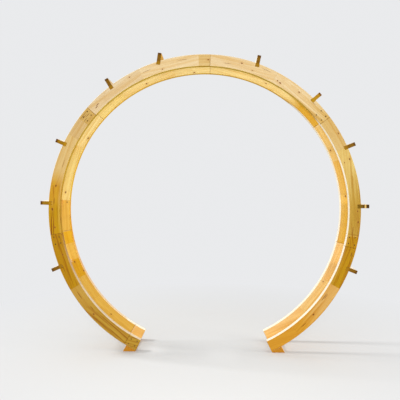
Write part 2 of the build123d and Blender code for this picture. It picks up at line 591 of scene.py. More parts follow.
def make_board(name, angle, lean, shift):
    """Cross board: a rectangle that stands on the housing floor and reaches outward by its width."""
    crossing, outward, sideways = board_axes(angle, lean)
    corners = np.array([(-1, 0), (1, 0), (1, 1), (-1, 1)]) * [BOARD_THICKNESS / 2, BOARD_WIDTH]
    start = crossing + [0.0, CENTRE_HEIGHT] - HOUSING_DEPTH * outward
    mesh = prism(name, start + corners[:, :1] * sideways + corners[:, 1:] * outward)

    def long_arris(edge):
        """The two long outer edges: at the board's full width, and from the front face to the rear face."""
        heights = [np.dot((vert.co.x, vert.co.z) - start, outward) for vert in edge.verts]
        from_front_to_rear = abs(edge.verts[0].co.y - edge.verts[1].co.y) > RIM_THICKNESS
        return min(heights) > BOARD_WIDTH - ON_EDGE and from_front_to_rear

    mark_edges(mesh, long_arris)
    piece = finished_object(f"{name}_timber", mesh, BOARD_ARRIS)
    middle = start + BOARD_WIDTH / 2 * outward
    straight_grain(piece, (middle[0], 0.0, middle[1]), (outward[0], 0.0, outward[1]), shift)
    place_piece(piece, "cross_board_timber", name)
    return piece


boards = []
for side, sign, side_angles, side_leans in (("right", 1, RIGHT_BOARD_ANGLES, RIGHT_BOARD_LEANS),
                                            ("left", -1, LEFT_BOARD_ANGLES, LEFT_BOARD_LEANS)):
    for number, (angle, lean) in enumerate(zip(side_angles, side_leans), start=1):
        shift = sign * number * BOARD_GRAIN_STEP
        boards.append(make_board(f"cross_board_{side}_{number}", sign * angle, lean, shift))
print("cross boards:", len(boards))

# %% [markdown]
# ## Wedge feet
#
# A foot is a wedge whose upper side is scribed to the rim's outer edge. Its outline is the arc of that seat,
# and from each end of it a cut square to the rim, down to the ground. The same function as for the boards
# gives it its depth, and a factor of minus one mirrors the outline for the left foot.

# %% Make the wedge feet
FOOT_LENGTH = 0.085
FOOT_CLEARANCE = 0.0003
FOOT_GRAIN_SHIFT = 29.0
FOOT_SEAT_RADIUS = RIM_OUTER_RADIUS + FOOT_CLEARANCE
FOOT_HEEL_ANGLE = RIM_END_ANGLE - np.degrees(FOOT_LENGTH / FOOT_SEAT_RADIUS)
SEAT_POINTS = 7


def make_foot(name, side):
    """Wedge foot: the seat's arc from toe to heel, then each end square to it, down to the ground."""
    seat_angles = np.linspace(RIM_END_ANGLE, FOOT_HEEL_ANGLE, SEAT_POINTS)
    seat = ring_points(seat_angles, np.full(SEAT_POINTS, FOOT_SEAT_RADIUS), np.zeros(SEAT_POINTS))[:, [0, 2]]
    slopes = np.tan(np.radians(180 - np.array([FOOT_HEEL_ANGLE, RIM_END_ANGLE])))
    ground = np.stack([CENTRE_HEIGHT * slopes, np.zeros(2)], axis=-1)
    outline = np.concatenate([seat, ground]) * [side, 1]
    mesh = prism(name, outline)
    mark_edges(mesh, lambda edge: False)
    piece = finished_object(f"{name}_timber", mesh, BOARD_ARRIS)
    middle = (outline[:, 0].mean(), 0.0, outline[:, 1].mean())
    straight_grain(piece, middle, (0.0, 0.0, 1.0), side * FOOT_GRAIN_SHIFT)
    place_piece(piece, "foot_timber", name)
    return piece


feet = [make_foot("right_foot", 1), make_foot("left_foot", -1)]
print("feet:", [piece.name for piece in feet])

# %% [markdown]
# ## Planed softwood
#
# The material works inside the timber, on the grain attribute:
#
# - growth rings are the distance from a pith that lies outside the timber, warped slowly along the grain,
# - each ring goes gently from pale spring wood to dark summer wood and then starts afresh,
# - knots are branches that run through the timber, and the rings swerve round them,
# - long streaks and fine fibres vary the tone,
# - end grain is darker, because it drinks the oil,
# - faces toward the sun are painted nearly white, a painted sunlit highlight, and narrow edges away from it
#   golden, a painted shade.
#
# The rims are glued up from short lengths, joined end to end by fingers. Each length has its own tone and
# its own stretch of grain, and the fingers show as a zigzag on the narrow edges.
#
# The nodes could be set out by hand in the shader editor, but there are hundreds of them, so a few helpers
# come first. Each adds one node and gives back its result, and a material then reads like a sum.

# %% Helpers for numbers and vectors
def socket_set(tree, socket, value):
    """Link a socket, or set a plain value."""
    if isinstance(value, bpy.types.NodeSocket):
        tree.links.new(value, socket)
    else:
        socket.default_value = value


def maths(tree, operation, *values):
    """Math node on up to three values."""
    node = tree.nodes.new("ShaderNodeMath")
    node.operation = operation
    for socket, value in zip(node.inputs, values):
        socket_set(tree, socket, value)
    return node.outputs[0]


def vector_maths(tree, operation, *values):
    """Vector math node: its vector output, or its value for a length, distance or dot product."""
    node = tree.nodes.new("ShaderNodeVectorMath")
    node.operation = operation
    for socket, value in zip(node.inputs, values):
        socket_set(tree, socket, value)
    return node.outputs["Value" if operation in ("LENGTH", "DISTANCE", "DOT_PRODUCT") else "Vector"]


def vector(tree, x, y, z):
    """Vector from three values."""
    node = tree.nodes.new("ShaderNodeCombineXYZ")
    for socket, value in zip(node.inputs, (x, y, z)):
        socket_set(tree, socket, value)
    return node.outputs[0]


def span(tree, value, low, high, to_low=0.0, to_high=1.0):
    """Map a value from one span to another, held at its ends."""
    node = tree.nodes.new("ShaderNodeMapRange")
    for socket, number in zip(node.inputs, (value, low, high, to_low, to_high)):
        socket_set(tree, socket, number)
    return node.outputs[0]


print("helpers:", [helper.__name__ for helper in (maths, vector_maths, vector, span)])

# %% [markdown]
# ## Colours, noise and attributes
#
# Colours are written as they look on a screen, because that is how wood is compared by eye, and a helper
# turns them into light. Noise keeps wood from looking printed. It takes a scale for each axis, so that the
# same noise gives soft clouds or fine fibres, drawn out along the grain. Nearly all of its values lie in a
# narrow spread about one half, and that spread is what gets mapped to shares.

# %% Helpers for colours, noise and materials
NOISE_SPREAD = (0.3, 0.7)


def colour(red, green, blue):
    """Colour as seen on a screen, 0 to 255, turned into light: its share of 255 to the power 2.2."""
    return (*((np.array([red, green, blue]) / 255) ** 2.2), 1.0)


def mixed(tree, factor, first, second, blend="MIX"):
    """Mix two colours. With MULTIPLY the second one tints the first."""
    node = tree.nodes.new("ShaderNodeMix")
    node.data_type = "RGBA"
    node.blend_type = blend
    node.clamp_result = False
    socket_set(tree, node.inputs["Factor"], factor)
    colours = [socket for socket in node.inputs if socket.type == "RGBA"]
    socket_set(tree, colours[0], first)
    socket_set(tree, colours[1], second)
    return [socket for socket in node.outputs if socket.type == "RGBA"][0]


def noise(tree, place, scales, detail=2.0, roughness=0.5):
    """Noise of a place that is first multiplied by a scale for each axis."""
    node = tree.nodes.new("ShaderNodeTexNoise")
    socket_set(tree, node.inputs["Vector"], vector_maths(tree, "MULTIPLY", place, scales))
    node.inputs["Scale"].default_value = 1.0
    node.inputs["Detail"].default_value = detail
    node.inputs["Roughness"].default_value = roughness
    return node.outputs["Fac"]


def stored(tree, name):
    """Attribute of the mesh: its number and its vector."""
    node = tree.nodes.new("ShaderNodeAttribute")
    node.attribute_name = name
    return node.outputs["Fac"], node.outputs["Vector"]


def new_material(name):
    """Material with its node tree and its shader."""
    material = bpy.data.materials.new(name)
    material.use_nodes = True
    return material, material.node_tree, material.node_tree.nodes["Principled BSDF"]


print("middle grey as light:", [round(float(number), 3) for number in colour(128, 128, 128)[:3]])

# %% [markdown]
# ## The tones of the lengths
#
# No two lengths of softwood have quite the same tone, and that is what shows the finger joints from afar.
# The lengths are listed from the left-hand end to the right-hand end, each with the angle where it starts
# and its tone. The tones are partly the wood's own and partly painted light: the front rim is paler toward
# the crown and deeper gold low on its legs, and the rear rim is paler and warmer for the brighter light on
# it, with steps in tone where the cross boards shade it. Every length could be an object of its own, but
# the timber is glued into one piece, and its material can tell the lengths apart.

# %% List the glued-up lengths
PALE = colour(242, 221, 179)
STRAW = colour(235, 214, 176)
LIGHT_TAN = colour(229, 201, 140)
SAND = colour(225, 199, 147)
OAT = colour(222, 193, 129)
FAWN = colour(216, 184, 112)
TAN = colour(228, 200, 121)
OLIVE = colour(203, 166, 78)
HONEY = colour(223, 178, 101)
GOLD = colour(218, 161, 51)
CREAM = colour(255, 232, 150)
MILK = colour(255, 233, 162)
PEACH = colour(255, 218, 140)
BUFF = colour(255, 210, 128)
SUNNY = colour(252, 208, 98)
AMBER = colour(240, 195, 88)
SUNLIT_AMBER = colour(247, 202, 94)
WHEAT = colour(243, 209, 128)
BRASS = colour(240, 189, 44)
RICH_BRASS = colour(250, 197, 47)
# Front tones, partly painted light: paler toward the crown, deeper gold low on the legs.
FRONT_LENGTHS = (
    (-180.0, OLIVE), (LAPS[5], OLIVE), (-129.4, OLIVE), (-120.4, TAN), (LAPS[4], LIGHT_TAN),
    (-80.0, LIGHT_TAN), (-60.0, SAND), (-53.0, FAWN), (LAPS[3], STRAW), (-24.5, PALE), (-1.8, LIGHT_TAN),
    (LAPS[2], PALE), (28.0, PALE), (LAPS[1], OAT), (65.5, TAN), (LAPS[0], TAN), (119.4, HONEY), (142.2, GOLD))
# Rear tones, partly painted light: paler and warmer, with steps where the cross boards shade the rim.
REAR_LENGTHS = (
    (-180.0, BUFF), (LAPS[5], AMBER), (-129.0, AMBER), (-118.5, BRASS), (-110.9, SUNNY),
    (-103.9, RICH_BRASS), (LAPS[4], SUNNY), (-86.0, CREAM), (-63.1, MILK), (LAPS[3], CREAM),
    (-35.0, MILK), (-12.0, MILK), (LAPS[2], MILK), (30.0, MILK), (LAPS[1], WHEAT), (69.5, AMBER),
    (83.7, SUNLIT_AMBER), (LAPS[0], BUFF), (120.0, PEACH), (135.6, BUFF))
print("lengths at the front:", len(FRONT_LENGTHS), "and at the rear:", len(REAR_LENGTHS))

# %% [markdown]
# ## Which length of timber is which
#
# Counting the starts that a place has passed gives the number of its length. A finger joint starts at one
# angle right through the timber, and its fingers are a zigzag on the narrow edges. At a half-lap the rear
# layer changes one lap length further left. So there are two places along the grain: one that the fingers
# move to and fro, and one that the lap moves on.

# %% Count the lengths
FINGER_PITCH = 0.006
FINGER_LENGTH = 0.012


def fingered(tree, along, depth):
    """Place along the grain, moved to and fro with the depth, so that a step there becomes a zigzag. The
    zigzag is nil on the timber's front and rear faces, where a finger joint is a straight line."""
    fold = maths(tree, "PINGPONG", depth, FINGER_PITCH / 2)
    return maths(tree, "ADD", along, maths(tree, "MULTIPLY_ADD", fold, 2 * FINGER_LENGTH / FINGER_PITCH,
                                           -FINGER_LENGTH / 2))


def lapped(tree, along, depth):
    """Place along the grain, moved on by a lap length in the rear layer."""
    return maths(tree, "MULTIPLY_ADD", maths(tree, "GREATER_THAN", depth, 0.0), LAP_LENGTH, along)


def past(tree, joint_places, start):
    """1 past the angle where a length starts, else 0. The places along the grain are two: one for finger
    joints and one for half-laps."""
    fingered_place, lapped_place = joint_places
    joint_place = lapped_place if start in LAPS else fingered_place
    return maths(tree, "GREATER_THAN", joint_place, np.radians(start) * RIM_MIDDLE_RADIUS)


def length_number(tree, joint_places, lengths):
    """Number of the length at this place, from 0 at the left-hand end."""
    number = 0.0
    for start, _ in lengths[1:]:
        number = maths(tree, "ADD", past(tree, joint_places, start), number)
    return number


print("fingers in the thickness of a rim:", RIM_THICKNESS / FINGER_PITCH)

# %% [markdown]
# ## A tone and a straight grain for each length
#
# A colour ramp with constant steps turns the number into the tone, and its alpha holds a share from 0 to 1
# that shifts the grain, so that no streak runs on from one length into the next. A second ramp gives the
# angle of each length's middle: the length was straight before the curve was sawn from it, so its grain
# runs straight too and is cut off at the curved edges. The ramps take the number instead of the angle,
# because a ramp is stored as a table of 256 steps, too coarse to end a tone just at its joint.
#
# The thin dark glue line between two lengths is where the number is about to change.

# %% From the number to the wood
GLUE_LINE = 0.0008


def number_ramp(tree, number, rows):
    """Constant ramp over the numbers of the lengths. Each row is a length's colour and alpha."""
    node = tree.nodes.new("ShaderNodeValToRGB")
    socket_set(tree, node.inputs[0], maths(tree, "MULTIPLY_ADD", number, 1 / len(rows), 0.5 / len(rows)))
    node.color_ramp.interpolation = "CONSTANT"
    stops = node.color_ramp.elements
    stops.remove(stops[-1])
    for row_number, (tone, alpha) in enumerate(rows):
        stop = stops[0] if row_number == 0 else stops.new(row_number / len(rows))
        stop.color = (*tone[:3], alpha)
    return node.outputs["Color"], node.outputs["Alpha"]


def tone_and_shift(tree, number, lengths):
    """Tone of the length with this number, and a share of its own from 0 to 1."""
    shifts = np.random.default_rng(len(lengths)).permutation(len(lengths)) / len(lengths)
    return number_ramp(tree, number, [(tone, shift) for (_, tone), shift in zip(lengths, shifts)])


def straightened(tree, along, outward, number, lengths):
    """Place in the straight length: from its middle angle, the radius times the sine is along the grain,
    and the radius times the cosine, less the middle radius, is across it."""
    starts = np.array([start for start, _ in lengths])
    centres = (starts + np.append(starts[1:], 180.0)) / 2
    _, centre = number_ramp(tree, number, [(PALE, 0.5 + centre_angle / 360) for centre_angle in centres])
    turn = maths(tree, "MULTIPLY_ADD", centre, -2 * np.pi, np.pi)
    turn = maths(tree, "MULTIPLY_ADD", along, 1 / RIM_MIDDLE_RADIUS, turn)
    radius = maths(tree, "ADD", outward, RIM_MIDDLE_RADIUS)
    across = maths(tree, "MULTIPLY_ADD", radius, maths(tree, "COSINE", turn), -RIM_MIDDLE_RADIUS)
    return maths(tree, "MULTIPLY", radius, maths(tree, "SINE", turn)), across


def glued_up(tree, along, outward, joint_places, lengths):
    """Tone and shift of the length at this place, the place along and across it, and 1 on a glue line."""
    number = length_number(tree, joint_places, lengths)
    further_on = [maths(tree, "ADD", joint_place, GLUE_LINE) for joint_place in joint_places]
    glue = maths(tree, "SUBTRACT", length_number(tree, further_on, lengths), number)
    tone, shift = tone_and_shift(tree, number, lengths)
    run, across = straightened(tree, along, outward, number, lengths)
    return tone, shift, run, across, glue


print("glue line in mm:", GLUE_LINE * 1000)

# %% [markdown]
# ## Knots and splits
#
# A knot is the cut end of a branch. On the rims' broad faces, which the eye looks at first, the knots are
# listed one by one: an angle, how far it lies from the middle of the face, and its width in millimetres. A
# few more run outward and show on the narrow edges. The front rim also has fine splits and resin streaks:
# thin dark strokes along the grain, listed as an angle, a distance from the middle, a length and a width.

# %% List the knots and splits
FRONT_KNOTS = ((133, 0, 11), (93.7, 26, 10), (89.6, 19, 7), (70, 25, 9), (70.6, -21, 6),
               (59.6, 29, 8), (38.5, 7, 8), (30.6, -17, 10), (29.4, -12, 8), (19, -20, 6), (14.4, 11, 9),
               (1.8, 2, 9), (-16, -23, 7), (-28.8, 19, 7), (-80, 1, 11),
               (-89, 14, 12), (-96, 1, 9), (-107, -14, 7), (-133, 12, 10))
REAR_KNOTS = ((121, -18, 7), (84.3, 0, 10), (64.6, -21, 9), (47, 8, 7), (26, -12, 7), (-4.1, -34, 8),
              (-24.5, -24, 9), (-40, 14, 8), (-58.3, -37, 10), (-82.8, -5, 10), (-86.8, -23, 8),
              (-111.9, 0, 9), (-116.8, -40, 8), (-138.3, 4, 8))
EDGE_KNOTS = ((142, 9, 8), (96, -11, 9), (58, 6, 12), (31, -8, 7), (-9, 10, 9), (-41, -6, 11),
              (-70, 9, 7), (-93, -9, 10), (-126, 4, 9))
FRONT_SPLITS = ((138.4, 7, 60, 5), (125.2, -22, 75, 5), (124.6, -13, 50, 4), (106, 20, 40, 6),
                (97, -8, 70, 4), (45, 18, 60, 3), (24, 22, 80, 3), (9, -12, 70, 3), (-8, 14, 90, 3),
                (-22, 4, 70, 3), (-44.6, 0, 32, 7), (-45.6, -8, 26, 7), (-50.2, 2, 50, 4), (-51, 27, 95, 3),
                (-51.3, 14, 60, 4), (-52, -6, 35, 5), (-71, -14, 80, 3), (-86, 2, 60, 5), (-91, 10, 90, 4),
                (-103, -2, 80, 4), (-112, 16, 70, 4), (-124, 6, 80, 5), (-131, -10, 60, 4))
print("knots:", len(FRONT_KNOTS), len(REAR_KNOTS), len(EDGE_KNOTS), "and splits:", len(FRONT_SPLITS))

# %% [markdown]
# ## How far to the nearest knot
#
# The material needs one number for all the knots: how far away the nearest one is, measured in its own
# radii. Below 1 is the knot itself, and for a few radii round it the grain swerves. For listed knots the
# number is the smallest of their distances. In the boards and feet, which show less, a cell pattern scatters
# them. A branch runs right through, so its distance leaves out the direction in which it runs.

# %% Measure the distance to a knot
KNOT_SQUEEZE = 0.6
KNOT_RIM = (1.15, 0.75)
SWERVE_RATE = 0.16
FAR_AWAY = 50.0
CELLS_PER_METRE = (8.0, 0.9, 8.0)
KNOTTY_CHANCE = 0.3
SCATTERED_REACH = (0.004, 0.07)
RAGGED_SCALE = (260.0, 260.0, 260.0)
RAGGED_REACH = 0.25


def nearest_of(tree, place, centres_and_widths):
    """Smallest of the distances to the centres, each divided by half its knot's width."""
    nearest = FAR_AWAY
    for centre, width in centres_and_widths:
        away = maths(tree, "DIVIDE", vector_maths(tree, "DISTANCE", place, centre), width / 2)
        nearest = maths(tree, "MINIMUM", away, nearest)
    return nearest


def listed_knots(tree, along, depth, outward, knots):
    """Nearest of the listed knots, which run through the depth, and of the edge knots, which run outward.
    Distances along the grain count less, which draws the knots out."""
    squeezed = maths(tree, "MULTIPLY", along, KNOT_SQUEEZE)
    metres = np.radians(1.0) * RIM_MIDDLE_RADIUS * KNOT_SQUEEZE
    through = [((angle * metres, 0.0, offset / 1000), width / 1000) for angle, offset, width in knots]
    upright = [((angle * metres, offset / 1000, 0.0), width / 1000) for angle, offset, width in EDGE_KNOTS]
    return maths(tree, "MINIMUM", nearest_of(tree, vector(tree, squeezed, 0.0, outward), through),
                 nearest_of(tree, vector(tree, squeezed, depth, 0.0), upright))


def scattered_knots(tree, place):
    """One possible knot in each cell of a pattern that is drawn out through the thickness. A cell's chance
    gives its knot's reach, which is next to nothing below the first chance."""
    cells = tree.nodes.new("ShaderNodeTexVoronoi")
    cells.inputs["Scale"].default_value = 1.0
    tree.links.new(vector_maths(tree, "MULTIPLY", place, CELLS_PER_METRE), cells.inputs["Vector"])
    chance = tree.nodes.new("ShaderNodeSeparateColor")
    tree.links.new(cells.outputs["Color"], chance.inputs[0])
    reach = span(tree, chance.outputs[0], KNOTTY_CHANCE, 1.0, *SCATTERED_REACH)
    return maths(tree, "DIVIDE", cells.outputs["Distance"], reach)


def ragged(tree, place, away):
    """Distance with a fine noise added, up to a quarter of a knot's radius either way."""
    fine = noise(tree, place, RAGGED_SCALE)
    return maths(tree, "ADD", away, maths(tree, "MULTIPLY_ADD", fine, 2 * RAGGED_REACH, -RAGGED_REACH))


def knot_and_swerve(tree, away):
    """1 inside a knot, and how much the grain swerves round it: a bell curve, which is e to the power of
    minus the rate times the distance squared."""
    squared = maths(tree, "MULTIPLY", away, away)
    swerve = maths(tree, "EXPONENT", maths(tree, "MULTIPLY", squared, -SWERVE_RATE))
    return span(tree, away, *KNOT_RIM), swerve


print("a listed knot is", round(1 / KNOT_SQUEEZE, 1), "times as long as it is wide")

# %% [markdown]
# ## How far to the nearest split
#
# A split is long and thin, so its distance is two shares: how far along it, over half its length, and how
# far across it, over half its width. The length of the two together is one number again, below 1 inside the
# split. It could be a thin dark object laid on the wood, but as part of the material it follows the grain.

# %% Measure the distance to a split
def listed_splits(tree, along, outward, splits):
    """Nearest of the listed splits, as the length of the share along and the share across. A split runs in
    from a broad face, so the depth doesn't count."""
    nearest = FAR_AWAY
    for angle, offset, length, width in splits:
        run = maths(tree, "SUBTRACT", along, np.radians(angle) * RIM_MIDDLE_RADIUS)
        off = maths(tree, "SUBTRACT", outward, offset / 1000)
        shares = vector(tree, maths(tree, "MULTIPLY", run, 2000 / length),
                        maths(tree, "MULTIPLY", off, 2000 / width), 0.0)
        nearest = maths(tree, "MINIMUM", vector_maths(tree, "LENGTH", shares), nearest)
    return nearest


print("longest split in mm:", max(length for _, _, length, _ in FRONT_SPLITS))

# %% [markdown]
# ## Growth rings and figure
#
# The rings are cylinders round a pith that lies outside the timber, and the timber is cut from them. Each
# ring darkens slowly from spring to summer and then starts afresh, and rings bend round a knot. Streaks that
# are long and narrow, soft clouds and very fine fibres lie over the rings: all three are noise, stretched
# along the grain by different amounts.

# %% Work out rings, streaks, clouds and fibres
RING_PITCH = 0.0042
RING_WARP = 0.055
RING_SWERVE = 0.009
RING_QUICK_END = 0.93
PITH_DRIFT = 0.12
WARP_SCALE = (1.1, 9.0, 9.0)
CLOUD_SCALE = (2.2, 12.0, 12.0)
SUMMER_TINT = colour(230, 202, 152)
CLOUD_TINT = colour(240, 218, 172)
SUMMER_SHARE = 0.75
STREAK_SHARE = 0.9
CLOUD_SHARE = 0.35
FIBRE_SHARE = 0.12


def growth_rings(tree, place, depth, across, shift, swerve, pith):
    """Summer wood from 0 to 1: the distance from the pith, warped along the grain, over the ring pitch.
    What is left after whole rings, to the third power, gives the slow darkening. A quick end follows it."""
    warp = noise(tree, place, WARP_SCALE)
    drift = maths(tree, "MULTIPLY_ADD", shift, PITH_DRIFT, pith[1])
    from_pith = vector(tree, maths(tree, "ADD", depth, pith[0]), maths(tree, "ADD", across, drift), 0.0)
    ring_place = maths(tree, "MULTIPLY_ADD", warp, RING_WARP, vector_maths(tree, "LENGTH", from_pith))
    ring_place = maths(tree, "MULTIPLY_ADD", swerve, RING_SWERVE, ring_place)
    ring = maths(tree, "FRACT", maths(tree, "DIVIDE", ring_place, RING_PITCH))
    quick_end = span(tree, ring, 1.0, RING_QUICK_END)
    return maths(tree, "MULTIPLY", maths(tree, "POWER", ring, 3.0), quick_end)


def figured(tree, base, place, summer, streaks, fibres):
    """Base colour darkened by the summer wood, the streaks, the clouds and the fibres, each by its share.
    The two numbers before a share are the noise values between which it grows."""
    clouds = noise(tree, place, CLOUD_SCALE)
    summer_tone = mixed(tree, 1.0, base, SUMMER_TINT, "MULTIPLY")
    cloud_tone = mixed(tree, 1.0, base, CLOUD_TINT, "MULTIPLY")
    surface = mixed(tree, maths(tree, "MULTIPLY", summer, SUMMER_SHARE), base, summer_tone)
    surface = mixed(tree, span(tree, streaks, 0.40, 0.70, 0.0, STREAK_SHARE), surface, summer_tone)
    surface = mixed(tree, span(tree, clouds, 0.35, 0.75, 0.0, CLOUD_SHARE), surface, cloud_tone)
    return mixed(tree, span(tree, fibres, 0.35, 0.70, 0.0, FIBRE_SHARE), surface, summer_tone)


print("rings across a rim's thickness:", round(RIM_THICKNESS / RING_PITCH, 1))

# %% [markdown]
# ## Dark wood
#
# A knot is darker than the wood round it and has fine rings of its own, and its resin has darkened that wood
# too. Splits and glue lines are dark tones over the figure. Each is held back by a share, because pure dark
# strokes look drawn.

# %% Darken knots, splits and glue lines
KNOT_HALO = colour(190, 130, 56)
KNOT_HALO_SHARE = 0.30
KNOT_HEART = colour(100, 50, 16)
KNOT_RING = colour(150, 92, 38)
KNOT_RINGS = 3.3
SPLIT_RIM = (1.15, 0.7)
SPLIT_TONE = colour(122, 68, 22)
SPLIT_SHARE = 0.9
GLUE_TONE = colour(130, 86, 36)
GLUE_SHARE = 0.45


def knotted(tree, surface, away, knot, swerve):
    """Surface with a halo where the grain swerves, and with each knot's own fine rings inside it."""
    surface = mixed(tree, maths(tree, "MULTIPLY", swerve, KNOT_HALO_SHARE), surface, KNOT_HALO)
    rings = maths(tree, "FRACT", maths(tree, "MULTIPLY", away, KNOT_RINGS))
    return mixed(tree, knot, surface, mixed(tree, rings, KNOT_HEART, KNOT_RING))


def lined(tree, surface, along, outward, splits, glue):
    """Surface with its splits and glue lines."""
    if splits:
        split = span(tree, listed_splits(tree, along, outward, splits), *SPLIT_RIM, 0.0, SPLIT_SHARE)
        surface = mixed(tree, split, surface, SPLIT_TONE)
    return mixed(tree, maths(tree, "MULTIPLY", glue, GLUE_SHARE), surface, GLUE_TONE)


print("rings from a knot's heart to its rim:", KNOT_RINGS)

# %% [markdown]
# ## Darker spans
#
# The front rim is darker and more golden in spans down both sides, each from a soft start to the end of a
# length. A span has brown streaks along the grain and spares the inner edge. The rear rim has two fainter
# spans, and the first of them is painted shade, cast by the second cross board on the right. The spans
# could be painted on by hand, but a short list says where each starts, is full and stops, and a list is
# easy to change.

# %% Darken spans of the wood
# Tints of the darker spans low on the front rim's legs.
YELLOW_DARKENING = colour(240, 212, 86)
LIME_DARKENING = colour(237, 240, 54)
GOLD_DARKENING = colour(212, 184, 14)
TAN_DARKENING = colour(218, 206, 142)
FAINT_DARKENING = colour(233, 220, 170)
HONEY_DARKENING = colour(249, 231, 129)
BROWN_DARKENING = colour(242, 239, 190)
FRONT_DARKER_SPANS = ((-74.0, -80.0, LAPS[4], 0.5, 1.0, YELLOW_DARKENING), (-85.0, -89.0, LAPS[4], 0.5, 1.0, LIME_DARKENING),
                (-98.5, -98.7, -120.4, 0.1, 1.0, GOLD_DARKENING), (70.0, 88.0, 98.9, 0.3, 0.4, TAN_DARKENING),
                (98.0, 99.6, 119.4, 0.3, 1.0, GOLD_DARKENING), (40.0, 53.0, LAPS[1], 0.0, 0.2, FAINT_DARKENING),
                (128.0, 138.0, 142.2, 0.0, 0.4, HONEY_DARKENING), (-124.0, -133.0, -180.0, 0.0, 1.0, BROWN_DARKENING))
# The first rear row is painted shade, where the second cross board on the right shades the rim.
REAR_DARKER_SPANS = ((36.0, 42.5, LAPS[1], 0.0, 0.3, colour(230, 200, 88)),
               (86.0, 91.0, LAPS[0], 0.0, 0.3, colour(243, 236, 170)))
STREAK_TINT = colour(210, 178, 130)
DARK_STREAKS = (0.52, 0.66)
STREAKY_START = 1.6
LONGEST_SOFT_START = 30.0
SPARED_INNER_EDGE = (-0.026, -0.008)
SPARED_EDGE_WAVER = 0.03


def darkened_spans(tree, base, joint_places, outward, streaks, stains):
    """Base colour with darker spans: each rises between its first two angles, astray by the streaks, stops at
    its third angle, spares the innermost 20 mm or so by one share, has brown streaks by another share, and
    multiplies by its tint."""
    angle = maths(tree, "MULTIPLY", joint_places[0], np.degrees(1 / RIM_MIDDLE_RADIUS))
    wavering = maths(tree, "MULTIPLY_ADD", streaks, SPARED_EDGE_WAVER, outward)
    inner_edge = span(tree, wavering, *SPARED_INNER_EDGE, 1.0, 0.0)
    for start, full, stop, spared, streaky, tint in stains:
        soft = min(abs(full - start) * STREAKY_START, LONGEST_SOFT_START)
        astray = maths(tree, "ADD", maths(tree, "MULTIPLY_ADD", streaks, soft, -soft / 2), angle)
        past_stop = past(tree, joint_places, stop)
        before_stop = past_stop if stop < start else maths(tree, "SUBTRACT", 1.0, past_stop)
        share = maths(tree, "MULTIPLY", span(tree, astray, start, full), before_stop)
        share = maths(tree, "MULTIPLY", share, maths(tree, "MULTIPLY_ADD", inner_edge, -spared, 1.0))
        base = mixed(tree, share, base, tint, "MULTIPLY")
        share = maths(tree, "MULTIPLY", share, span(tree, streaks, *DARK_STREAKS, 0.0, streaky))
        base = mixed(tree, share, base, STREAK_TINT, "MULTIPLY")
    return base


print("stains at the front:", len(FRONT_DARKER_SPANS), "and at the rear:", len(REAR_DARKER_SPANS))

# %% [markdown]
# ## Sun on the wood
#
# Sunlight and shade are painted into the wood's colour here. Faces that turn toward the sun, and faces that
# look up, are painted nearly white: a painted sunlit highlight. Narrow edges that face away from the sun are
# painted golden: a painted shade. The gate always stands the same way round, so the direction in which a
# surface faces tells which is which. Being painted, this light stays when the lamps change. The narrow
# edges and the arrises are also rubbed a little darker, and sawn ends take their tint in bands.

# %% Paint sunlight and shade, rub and tint the surface
# Painted sunlight: the near-white that faces toward the sun, and faces that look up, are mixed to.
PAINTED_SUNLIGHT = colour(253, 245, 224)
PAINTED_SUNLIGHT_SHARES = (0.97, 0.8)
# Painted shade: the golden tint of narrow edges turned away from the sun.
SHADED_TINT = colour(250, 232, 150)
TO_THE_SUN = (-0.79, 0.0, 0.61)
SUN_BORDER = 0.05
UPWARD = (0.0, 0.0, 1.0)
LOOKS_UP = (0.15, 0.6)
LOOKS_UP_SHARE = 0.55
BACKWARD = (0.0, 1.0, 0.0)
LOOKS_SIDEWAYS = (0.9, 0.5)
RUBBED_TINT = colour(214, 196, 164)
RUBBED_FROM = (0.0035, 0.0005)
RUBBED_SHARES = (0.1, 0.45)


def weather_and_painted_light(tree, surface, streaks, sawn_end, sun_start, shaded_tint):
    """Surface with painted sunlight, nearly white, where it faces the sun by more than a share, or looks up.
    Narrow edges that face the sun by less get painted shade, a golden tint. Sawn ends get no painted
    sunlight."""
    normal = tree.nodes.new("ShaderNodeNewGeometry").outputs["Normal"]
    sun_share = vector_maths(tree, "DOT_PRODUCT", normal, TO_THE_SUN)
    up_share = vector_maths(tree, "DOT_PRODUCT", normal, UPWARD)
    from_above = span(tree, up_share, *LOOKS_UP, 0.0, LOOKS_UP_SHARE)
    # Painted sunlight on faces toward the sun and on faces that look up.
    painted_sunlight = maths(tree, "MAXIMUM", span(tree, sun_share, sun_start, sun_start + SUN_BORDER), from_above)
    painted_sunlight = maths(tree, "MULTIPLY", painted_sunlight, span(tree, streaks, *NOISE_SPREAD, *PAINTED_SUNLIGHT_SHARES))
    painted_sunlight = maths(tree, "MULTIPLY", painted_sunlight, maths(tree, "SUBTRACT", 1.0, sawn_end))
    broad_face = maths(tree, "ABSOLUTE", vector_maths(tree, "DOT_PRODUCT", normal, BACKWARD))
    # Painted shade on narrow edges turned away from the sun.
    shaded = maths(tree, "MULTIPLY", span(tree, sun_share, sun_start, sun_start - SUN_BORDER),
                   span(tree, broad_face, *LOOKS_SIDEWAYS))
    surface = mixed(tree, shaded, surface, shaded_tint, "MULTIPLY")
    return mixed(tree, painted_sunlight, surface, PAINTED_SUNLIGHT)


def rubbed(tree, surface, outward, half_width, fibres):
    """Surface with a darker tone on the narrow edges and on the last 3 mm before them, broken up by the
    fibres."""
    start, full = half_width - np.array(RUBBED_FROM)
    edge = span(tree, maths(tree, "ABSOLUTE", outward), start, full)
    share = maths(tree, "MULTIPLY", edge, span(tree, fibres, 0.35, 0.65, *RUBBED_SHARES))
    return mixed(tree, share, surface, RUBBED_TINT, "MULTIPLY")


def end_tint(tree, outward, inner_tint, *bands):
    """Tint of the sawn ends. It starts at the inner edge, and further out each band takes over between its
    first two places."""
    tint = inner_tint
    for start, full, next_tint in bands:
        tint = mixed(tree, span(tree, outward, start, full), tint, next_tint)
    return tint


